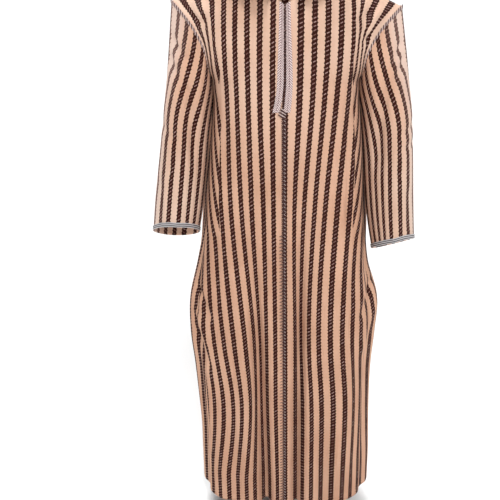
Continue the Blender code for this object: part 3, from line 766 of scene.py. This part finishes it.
# How far the sleeve's inner side sags against the body, at some heights
SAG = {
    RIGHT: ((-0.60, 0.000), (-0.52, 0.005), (-0.42, 0.008), (-0.32, 0.009), (-0.22, 0.007), (-0.14, 0.000)),
    LEFT: ((-0.62, 0.000), (-0.54, 0.006), (-0.42, 0.010), (-0.32, 0.010), (-0.22, 0.007), (-0.14, 0.000)),
}


def sleeve_way_out(side, places):
    _, outer, inner, middle_y, _ = np.moveaxis(read(SLEEVE[side], places[..., 2]), -1, 0)
    way = np.stack([places[..., 0] - side * 0.5 * (outer + inner), places[..., 1] - middle_y,
                    np.zeros_like(middle_y)], -1)
    return way / np.linalg.norm(way, axis=-1, keepdims=True)


SLEEVE_LEAN = {RIGHT: 0.020, LEFT: 0.045}     # the stripes of the inner side run outward as they fall
LEAN_TOP_Z, LEAN_HEIGHT = -0.08, 0.40
sleeve_shares = np.linspace(0.0, 1.0, SLEEVE_COLUMNS + 1)
sleeves = {}


def highlight_outside(looks, from_outside):
    """Painted highlight along the outer side of the arm, where the cloth's two long edges meet."""
    nearest = looks.sum("MINIMUM", from_outside, SLEEVE_WIDTH - from_outside)
    return 0.8 - looks.step(0.6 * REPEAT, 2.8 * REPEAT, nearest) * 0.8


# on the sleeves the paler cream copy is painted light low on the arm, and a pale painted highlight runs along
# the outer side
sleeve_cloth = striped_cloth("sleeve_cloth", highlight_outside, lit_from=-0.12, lit_to=-0.48)
for side, word in SIDES:
    rows = sleeve_rows(side)
    ways = sleeve_way_out(side, rows)
    rows = crease(rows, ways, SLEEVE_CREASES[side])
    inner_side = ease(-side * ways[..., 0] * 1.2 - 0.1)
    rows[..., 0] -= side * read(SAG[side], rows[..., 2])[..., 1] * inner_side
    rows[:, -1] = rows[:, 0]
    sleeves[side] = rows
    lean = SLEEVE_LEAN[side] * ease((LEAN_TOP_Z - rows[..., 2]) / LEAN_HEIGHT) * inner_side
    across = -side * (sleeve_shares[None, :] * SLEEVE_WIDTH + lean)
    piece = sheet_piece(f"sleeve_{word}_cloth", sleeve_cloth, rows, across, cloth_lengths(rows),
                        (side * 0.26, -0.03, -0.3), closed=True)
    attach(piece, "root")
    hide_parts(f"sleeve_{word}")


# Hood
# Two mirrored halves of the same cloth, sewn along the middle to a pointed bag and round the neck.
# It is worn down, so it rises in a soft roll round the back of the neck and hangs open on the back.

Hood = namedtuple("Hood", "rise reach fall bag slope")
HOOD_FRONT = Hood(0.012, 0.010, 0.020, 0.008, 0.60)
HOOD_SHOULDER = Hood(0.022, 0.018, 0.050, 0.018, 0.58)
HOOD_BACK = Hood(0.034, 0.024, 0.280, 0.050, 1.49)
HOOD_MIDDLE = (0, 0.12, -0.05)
HOOD_GAP = 0.0008
HOOD_WAVES, HOOD_WAVE = 13.0, 0.0022    # how close its soft waves are, and how deep
HOOD_COLUMNS, HOOD_ROWS = 110, 80
HOOD_START = 1 / NECK_COLUMNS      # the neck's front stays open, in a V


def blend(a, b, t):
    return Hood(*(p + (q - p) * t for p, q in zip(a, b)))


def hood_sizes(behind):
    """The hood's sizes for a point of the neckline, from how far it faces backward."""
    if behind < 0.0:
        return blend(HOOD_SHOULDER, HOOD_FRONT, ease(-behind))
    sizes = blend(HOOD_SHOULDER, HOOD_BACK, ease(behind) ** 1.5)
    pointed = HOOD_SHOULDER.fall + (HOOD_BACK.fall - HOOD_SHOULDER.fall) * ease(behind) ** 2
    return sizes._replace(fall=pointed)


def hood_profile(sizes):
    """Outward and upward steps from the neckline: up, over, down, and up again outside."""
    across, down = cos(sizes.slope), -sin(sizes.slope)
    lean = np.array([across, down])
    out = np.array([-down, across])
    shoulder = np.array([sizes.reach + 0.006, sizes.rise * 0.7])
    bottom = shoulder + lean * sizes.fall
    return [
        np.array([0.0, 0.0]),
        np.array([0.12 * sizes.reach, 0.6 * sizes.rise]),
        np.array([0.50 * sizes.reach, sizes.rise]),
        shoulder,
        shoulder + lean * 0.35 * sizes.fall,
        shoulder + lean * 0.75 * sizes.fall,
        bottom + out * 0.10 * sizes.bag,
        bottom + out * 0.60 * sizes.bag - lean * 0.04 * sizes.fall,
        shoulder + lean * 0.65 * sizes.fall + out * 1.05 * sizes.bag,
        shoulder + lean * 0.30 * sizes.fall + out * 1.10 * sizes.bag,
        shoulder + lean * 0.06 * sizes.fall + out * 1.25 * sizes.bag,
    ]


def neckline(place):
    """A point of the neckline: -1 at the front on the right, 0 centre back, 1 front on the left."""
    side = LEFT if place > 0 else RIGHT
    t = abs(place) * 2
    if t <= 1:
        return along_curve(NECK_BACK, t) * (side, 1, 1)
    return along_curve(NECK_FRONT, 1 - (t - 1) * (1 - HOOD_START)) * (side, 1, 1)


columns = []
for place in np.linspace(-1.0, 1.0, HOOD_COLUMNS + 1):
    start = neckline(place)
    direction = np.array([start[0], start[1] + 0.02, 0.0])
    direction /= np.linalg.norm(direction)
    profile = along_curve(hood_profile(hood_sizes(direction[1])), np.linspace(0, 1, HOOD_ROWS + 1))
    columns.append(start + np.outer(profile[:, 0], direction)
                   + np.outer(profile[:, 1] + HOOD_GAP, (0, 0, 1)))
rows = np.array(columns).transpose(1, 0, 2)
wave = np.sin(np.linspace(-1, 1, HOOD_COLUMNS + 1) * HOOD_WAVES)[None, :] * HOOD_WAVE
wave = wave * ease(np.linspace(0, 2.2, HOOD_ROWS + 1))[:, None]
rows[..., 1] += wave * ease(rows[..., 1] / 0.08)
middle_row = rows[int(HOOD_ROWS * 0.4)]
run = ring_length(middle_row)
across, along = run - run[-1] / 2, cloth_lengths(rows)
middle = HOOD_COLUMNS // 2
for side, word in SIDES:
    half = slice(middle, None) if side == LEFT else slice(0, middle + 1)
    piece = sheet_piece(f"hood_{word}_cloth", cloth, rows[:, half], across[half], along[:, half], HOOD_MIDDLE)
    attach(piece, "root")
    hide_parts(f"hood_{word}")


# Placket braids
# Two flat herringbone braids of silver-pink silk, sewn down the edges of the front opening from the
# neck, with a narrow dark channel between them.

PLACKET_END_Z = -0.245
BRAID = 0.0016          # thickness of the braid
BRAID_CHANNEL = 0.0026
BRAID_EDGE_LOW, BRAID_EDGE_TOP = 0.0180, 0.0150     # from the centre line to the braid's outer edge
BRAID_PITCH = 0.0052
BRAID_LIFT, BRAID_CROWN, BRAID_RIB = 0.0012, 0.0009, 0.0004    # its heights off the cloth
BRAID_LEAN = {LEFT: 0.006, RIGHT: 0.010}    # how far each lower end strays to the right
BRAID_LEANS = 0.35      # share of the length over which it does
# the braid's own pale silk, and the painted shade of its valleys
BRAID_PALE, BRAID_VALLEY_SHADE = (0.88, 0.72, 0.70), (0.20, 0.10, 0.10)


def braid_looks(name):
    """Silk braid: slanting ribs with painted shade in the valleys and the middle groove, and a fine thread
    grain.
    """
    looks = Looks(name)
    u, v, spot = looks.flat_place()
    slant = v + looks.sum("ABSOLUTE", u) * 1.1
    rib = looks.sum("SINE", slant * (2 * pi / BRAID_PITCH)) * 0.5 + 0.5
    rib = rib - (1.0 - looks.step(0.0003, 0.0013, looks.sum("ABSOLUTE", u))) * 0.5
    grain = looks.noise(spot, 900.0, 3.0)
    # painted shade: the colour darkens where the ribs and the middle groove are low
    tone = looks.mix(looks.step(0.0, 0.75, rib + (grain - 0.5) * 0.5), BRAID_VALLEY_SHADE, BRAID_PALE)
    tone = looks.mix(looks.step(0.35, 0.7, looks.noise(spot, 30.0)) * 0.25, tone, (0.70, 0.53, 0.51))
    return looks.finish(Base_Color=tone, Roughness=0.45, Sheen_Weight=0.2,
                        Normal=looks.bump(rib + grain * 0.4, 0.0007))


braid = braid_looks("placket_silk")
BRAID_ROWS, BRAID_COLUMNS = 420, 14
rows_z = np.linspace(0.0, 1.0, BRAID_ROWS + 1)
for side, word in SIDES:
    front = front_rows[side]
    lengths = cloth_lengths(front)[:, 0]
    start_row = int(np.argmin(abs(front[:, 0, 2] - PLACKET_END_Z)))
    start, end = lengths[start_row], lengths[-1] - 0.001
    along_braid = start + (end - start) * rows_z
    inner = at_length(front[:, 0], lengths, along_braid)
    edge_column = BRAID_WIDTH / PANEL_HALF * FRONT_COLUMNS
    k0 = int(edge_column)
    outer_line = front[:, k0] + (front[:, k0 + 1] - front[:, k0]) * (edge_column - k0)
    outer = at_length(outer_line, lengths, along_braid)
    edge = BRAID_EDGE_LOW + (BRAID_EDGE_TOP - BRAID_EDGE_LOW) * rows_z
    middle = np.linspace(-1.0, 1.0, BRAID_COLUMNS + 1)
    half_width = (edge - BRAID_CHANNEL) / 2
    from_middle = half_width[:, None] * middle[None, :]
    steps = from_middle + (BRAID_CHANNEL + half_width)[:, None]
    sideways = (outer - inner) / np.linalg.norm(outer - inner, axis=1)[:, None]
    rows = inner[:, None] + sideways[:, None] * steps[..., None]
    rows[..., 0] -= (BRAID_LEAN[side] * np.maximum(1.0 - rows_z / BRAID_LEANS, 0.0) ** 2)[:, None]
    rib = np.sin((along_braid[:, None] + np.abs(from_middle) * 1.1) * 2 * pi / BRAID_PITCH)
    crown = np.sqrt(1 - 0.85 * middle**2)[None, :]
    raised = BRAID_LIFT + BRAID_CROWN * crown + BRAID_RIB * rib
    rows = rows + way_out(rows) * raised[..., None]
    piece = sheet_piece(f"placket_{word}_braid", braid, rows, side * from_middle, along_braid[:, None],
                        BODY_MIDDLE, wall=BRAID)
    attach(piece, "root")
    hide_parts(f"placket_{word}")


# Cuff braids
# A flat silver braid round the end of each sleeve: three rolls with two thin dark cords between.

CUFF_BRAID = 0.012
CUFF_ROWS = 18
CUFF_ROUND = 0.42       # the braid's length
CUFF_ROLL = 0.0010      # height of each roll, and of the braid's ground
CUFF_TWIST = 0.0024
CORD_HEIGHTS = (0.0038, 0.0086)     # of the two dark cords above the cuff's edge
CUFF_SILVER, CUFF_SHADE, CUFF_CORD = (0.70, 0.68, 0.69), (0.36, 0.34, 0.35), (0.035, 0.022, 0.024)


def cuff_looks(name):
    looks = Looks(name)
    u, v, spot = looks.flat_place()
    twist = looks.sum("SINE", (u + v * 1.1) * (2 * pi / CUFF_TWIST)) * 0.5 + 0.5
    cords = [1.0 - looks.step(0.0009, 0.0015, looks.sum("ABSOLUTE", v - at)) for at in CORD_HEIGHTS]
    line = looks.sum("MAXIMUM", *cords)
    grain = looks.noise(spot, 1100.0, 3.0)
    silver = looks.mix(twist * 0.22 + grain * 0.3, CUFF_SILVER, CUFF_SHADE)
    return looks.finish(Base_Color=looks.mix(line, silver, CUFF_CORD), Roughness=0.42 + line * 0.35,
                        Sheen_Weight=0.15, Normal=looks.bump(twist + grain * 0.4, 0.0004))


cuff_silk = cuff_looks("cuff_silk")
for side, word in SIDES:
    sleeve = sleeves[side]
    height = cloth_lengths(sleeve)
    up = np.linspace(0.0, CUFF_BRAID, CUFF_ROWS + 1)
    rows = np.stack([at_length(sleeve[:, i], height[:, i], up) for i in range(SLEEVE_COLUMNS + 1)], axis=1)
    rolls = CUFF_ROLL + CUFF_ROLL * np.abs(np.sin(pi * up / CUFF_BRAID * 3)) ** 0.6
    rows = rows + sleeve_way_out(side, rows) * rolls[:, None, None]
    rows[:, -1] = rows[:, 0]
    piece = sheet_piece(f"cuff_{word}_braid", cuff_silk, rows, sleeve_shares * CUFF_ROUND, up[:, None],
                        (side * 0.285, -0.045, -0.58), wall=BRAID, closed=True)
    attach(piece, "root")
    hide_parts(f"cuff_{word}")


# Seam threads
# Hand stitches in thick thread: close slanting bars over the centre seam below the placket, stitches
# across the placket's channel, a whipped end below it, and whipping round both armholes.

def thread_looks(name, colour, second):
    looks = Looks(name)
    spot = looks.node("ShaderNodeTexCoord").outputs["Object"]
    grain = looks.noise(spot, 700.0, 3.0)
    return looks.finish(Base_Color=looks.mix(looks.step(0.35, 0.65, grain), colour, second),
                        Roughness=0.7, Normal=looks.bump(grain, 0.0003))


Stitch = namedtuple("Stitch", "place way out length thickness")
Bar = namedtuple("Bar", "shift way length thickness")


def sew(name, stitches, material):
    """Many stitches as one piece: each a short rounded bar that lies on the cloth."""
    threads = bmesh.new()
    for stitch in stitches:
        way, out = Vector(stitch.way).normalized(), Vector(stitch.out).normalized()
        side_way = out.cross(way).normalized()
        out = way.cross(side_way)
        turn = Matrix((way, side_way, out)).transposed().to_4x4()
        size = Matrix.Diagonal((stitch.length / 2, stitch.thickness / 2, stitch.thickness / 2, 1.0))
        bmesh.ops.create_icosphere(threads, subdivisions=2, radius=1.0,
                                   matrix=Matrix.Translation(stitch.place) @ turn @ size)
    mesh = bpy.data.meshes.new(name)
    threads.to_mesh(mesh)
    threads.free()
    mesh.shade_smooth()
    mesh.materials.append(material)
    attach(add(name, mesh), "root")


pale_thread = thread_looks("pale_thread", (0.78, 0.64, 0.60), (0.50, 0.34, 0.31))
dark_thread = thread_looks("dark_thread", (0.040, 0.012, 0.012), (0.10, 0.035, 0.03))
centre = front_rows[LEFT][:, 0]
centre_run = ring_length(centre)


def on_centre(length):
    return at_length(centre, centre_run, length)


SEAM_PITCH = 0.0046
SEAM_BAR = Bar((-0.0030, 0, 0), (0.8, 0, -0.6), 0.0150, 0.0025)
PALE_BAR = Bar((-0.0006, -0.0007, 0), (0.8, 0, -0.6), 0.0068, 0.0012)
HATCH_BAR = Bar((-0.0105, -0.0005, 0.0014), (0.94, 0, 0.34), 0.0080, 0.0021)
HATCH_TOP_Z = -0.54     # the hatch beside the seam starts here
CHANNEL_PITCH, CHANNEL_LEAN = 0.0066, 0.008
WHIP_PITCH, WHIPS = 0.0028, 6
ARMHOLE_PITCH = 0.0052
placket_end = centre_run[start_row]
forward = (0, -1, 0)


def front_stitch(place, bar):
    return Stitch(place + bar.shift, bar.way, forward, bar.length, bar.thickness)


pale, dark = [], []
for n, length in enumerate(np.arange(0.006, placket_end - 0.004, SEAM_PITCH)):
    place = on_centre(length) + (0.0, -0.0006, 0.0)
    dark.append(front_stitch(place, SEAM_BAR))
    if n % 2 and place[2] < HATCH_TOP_Z:
        dark.append(front_stitch(place, HATCH_BAR))
    if n % 2:
        pale.append(front_stitch(place, PALE_BAR))
neck_end = centre_run[-1] - 0.004
for n, length in enumerate(np.arange(placket_end + 0.002, neck_end, CHANNEL_PITCH)):
    low_end = max(1.0 - (length - placket_end) / (neck_end - placket_end) / BRAID_LEANS, 0.0)
    place = on_centre(length) + (-CHANNEL_LEAN * low_end**2, -0.0016, 0.0)
    dark.append(Stitch(place, (0.72, 0, 0.7 if n % 2 else 0.55), forward, 0.0088, 0.0026))
for n in range(WHIPS):
    place = on_centre(placket_end - 0.009 + WHIP_PITCH * n) + (-0.0085 + 0.0012 * n, -0.0026, 0.0)
    (pale if n % 2 else dark).append(Stitch(place, (0.85, 0, -0.5), forward, 0.0190, 0.0025))
armhole_pale, armhole_dark = [], []
for side, word in SIDES:
    seam = sleeves[side][-1]
    seam_run = ring_length(seam)
    inside = sleeves[side][-4]
    for n, length in enumerate(np.arange(0.002, seam_run[-1] - 0.002, ARMHOLE_PITCH)):
        place = at_length(seam, seam_run, length)
        below = at_length(inside, seam_run, length)
        ahead = at_length(seam, seam_run, length + 0.003)
        out = way_out(place) + sleeve_way_out(side, place) * 0.6
        way = (below - place) / np.linalg.norm(below - place) + (ahead - place) / 0.003 * 0.5
        thread = armhole_pale if n % 2 else armhole_dark
        thread.append(Stitch(place + out * 0.0006, way, out, 0.0125, 0.0027))
sew("seam_threads_pale", pale + armhole_pale, pale_thread)
sew("seam_threads_dark", dark + armhole_dark, dark_thread)


# Studio
# A wide pale floor, pale surroundings, two soft far lamps above the front and the back, and three
# small near ones at the chest and both sides.

FLOOR_Z = -1.46
floor_mesh = bpy.data.meshes.new("floor")
floor_plane = bmesh.new()
bmesh.ops.create_grid(floor_plane, x_segments=1, y_segments=1, size=30.0)
bmesh.ops.translate(floor_plane, verts=floor_plane.verts, vec=(0, 20.0, FLOOR_Z))
floor_plane.to_mesh(floor_mesh)
floor_plane.free()
floor_paper = Looks("floor_paper").finish(Base_Color=(0.93, 0.93, 0.93, 1.0), Roughness=0.9,
                                          Specular_IOR_Level=0.1)
floor_mesh.materials.append(floor_paper)
add("floor", floor_mesh)

world = bpy.data.worlds.new("studio")
world.use_nodes = True
background = world.node_tree.nodes["Background"].inputs
background["Color"].default_value = (1.0, 1.0, 1.0, 1.0)
background["Strength"].default_value = 0.22
bpy.context.scene.world = world


def lamp(name, kind, place, aim=(0.0, 0.0, 0.0), **settings):
    """A lamp at a place, turned to what it lights. A sun is far off, and only its direction counts."""
    light = bpy.data.lights.new(name, kind)
    for key, value in settings.items():
        setattr(light, key, value)
    thing = add(name, light)
    thing.location = place
    thing.rotation_euler = (Vector(place) - Vector(aim)).to_track_quat("Z", "Y").to_euler()


lamp("lamp_front", "SUN", (0.25, -0.75, 1.0), energy=1.40, angle=radians(16))
lamp("lamp_behind", "SUN", (-0.10, 0.75, 1.0), energy=2.7, angle=radians(25))
lamp("lamp_chest", "AREA", (0.10, -1.60, 0.75), (0.0, 0.0, -0.15), energy=9.0, size=0.4)
lamp("lamp_left", "AREA", (1.20, 0.0, 0.50), (0.30, 0.0, -0.20), energy=3.0, size=0.5)
lamp("lamp_right", "AREA", (-1.20, 0.0, 0.50), (-0.30, 0.0, -0.20), energy=5.0, size=0.5)

camera_data = bpy.data.cameras.new("camera")
camera = add("camera", camera_data)
camera.location = (0.0, -1.616, 0.04)
camera.rotation_euler = (radians(67.3), 0.0, 0.0)
camera_data.lens = 47.3
camera_data.shift_x = -0.07
camera_data.clip_end = 200.0
bpy.context.scene.camera = camera
colours = bpy.context.scene.view_settings
colours.view_transform, colours.look = "Standard", "None"
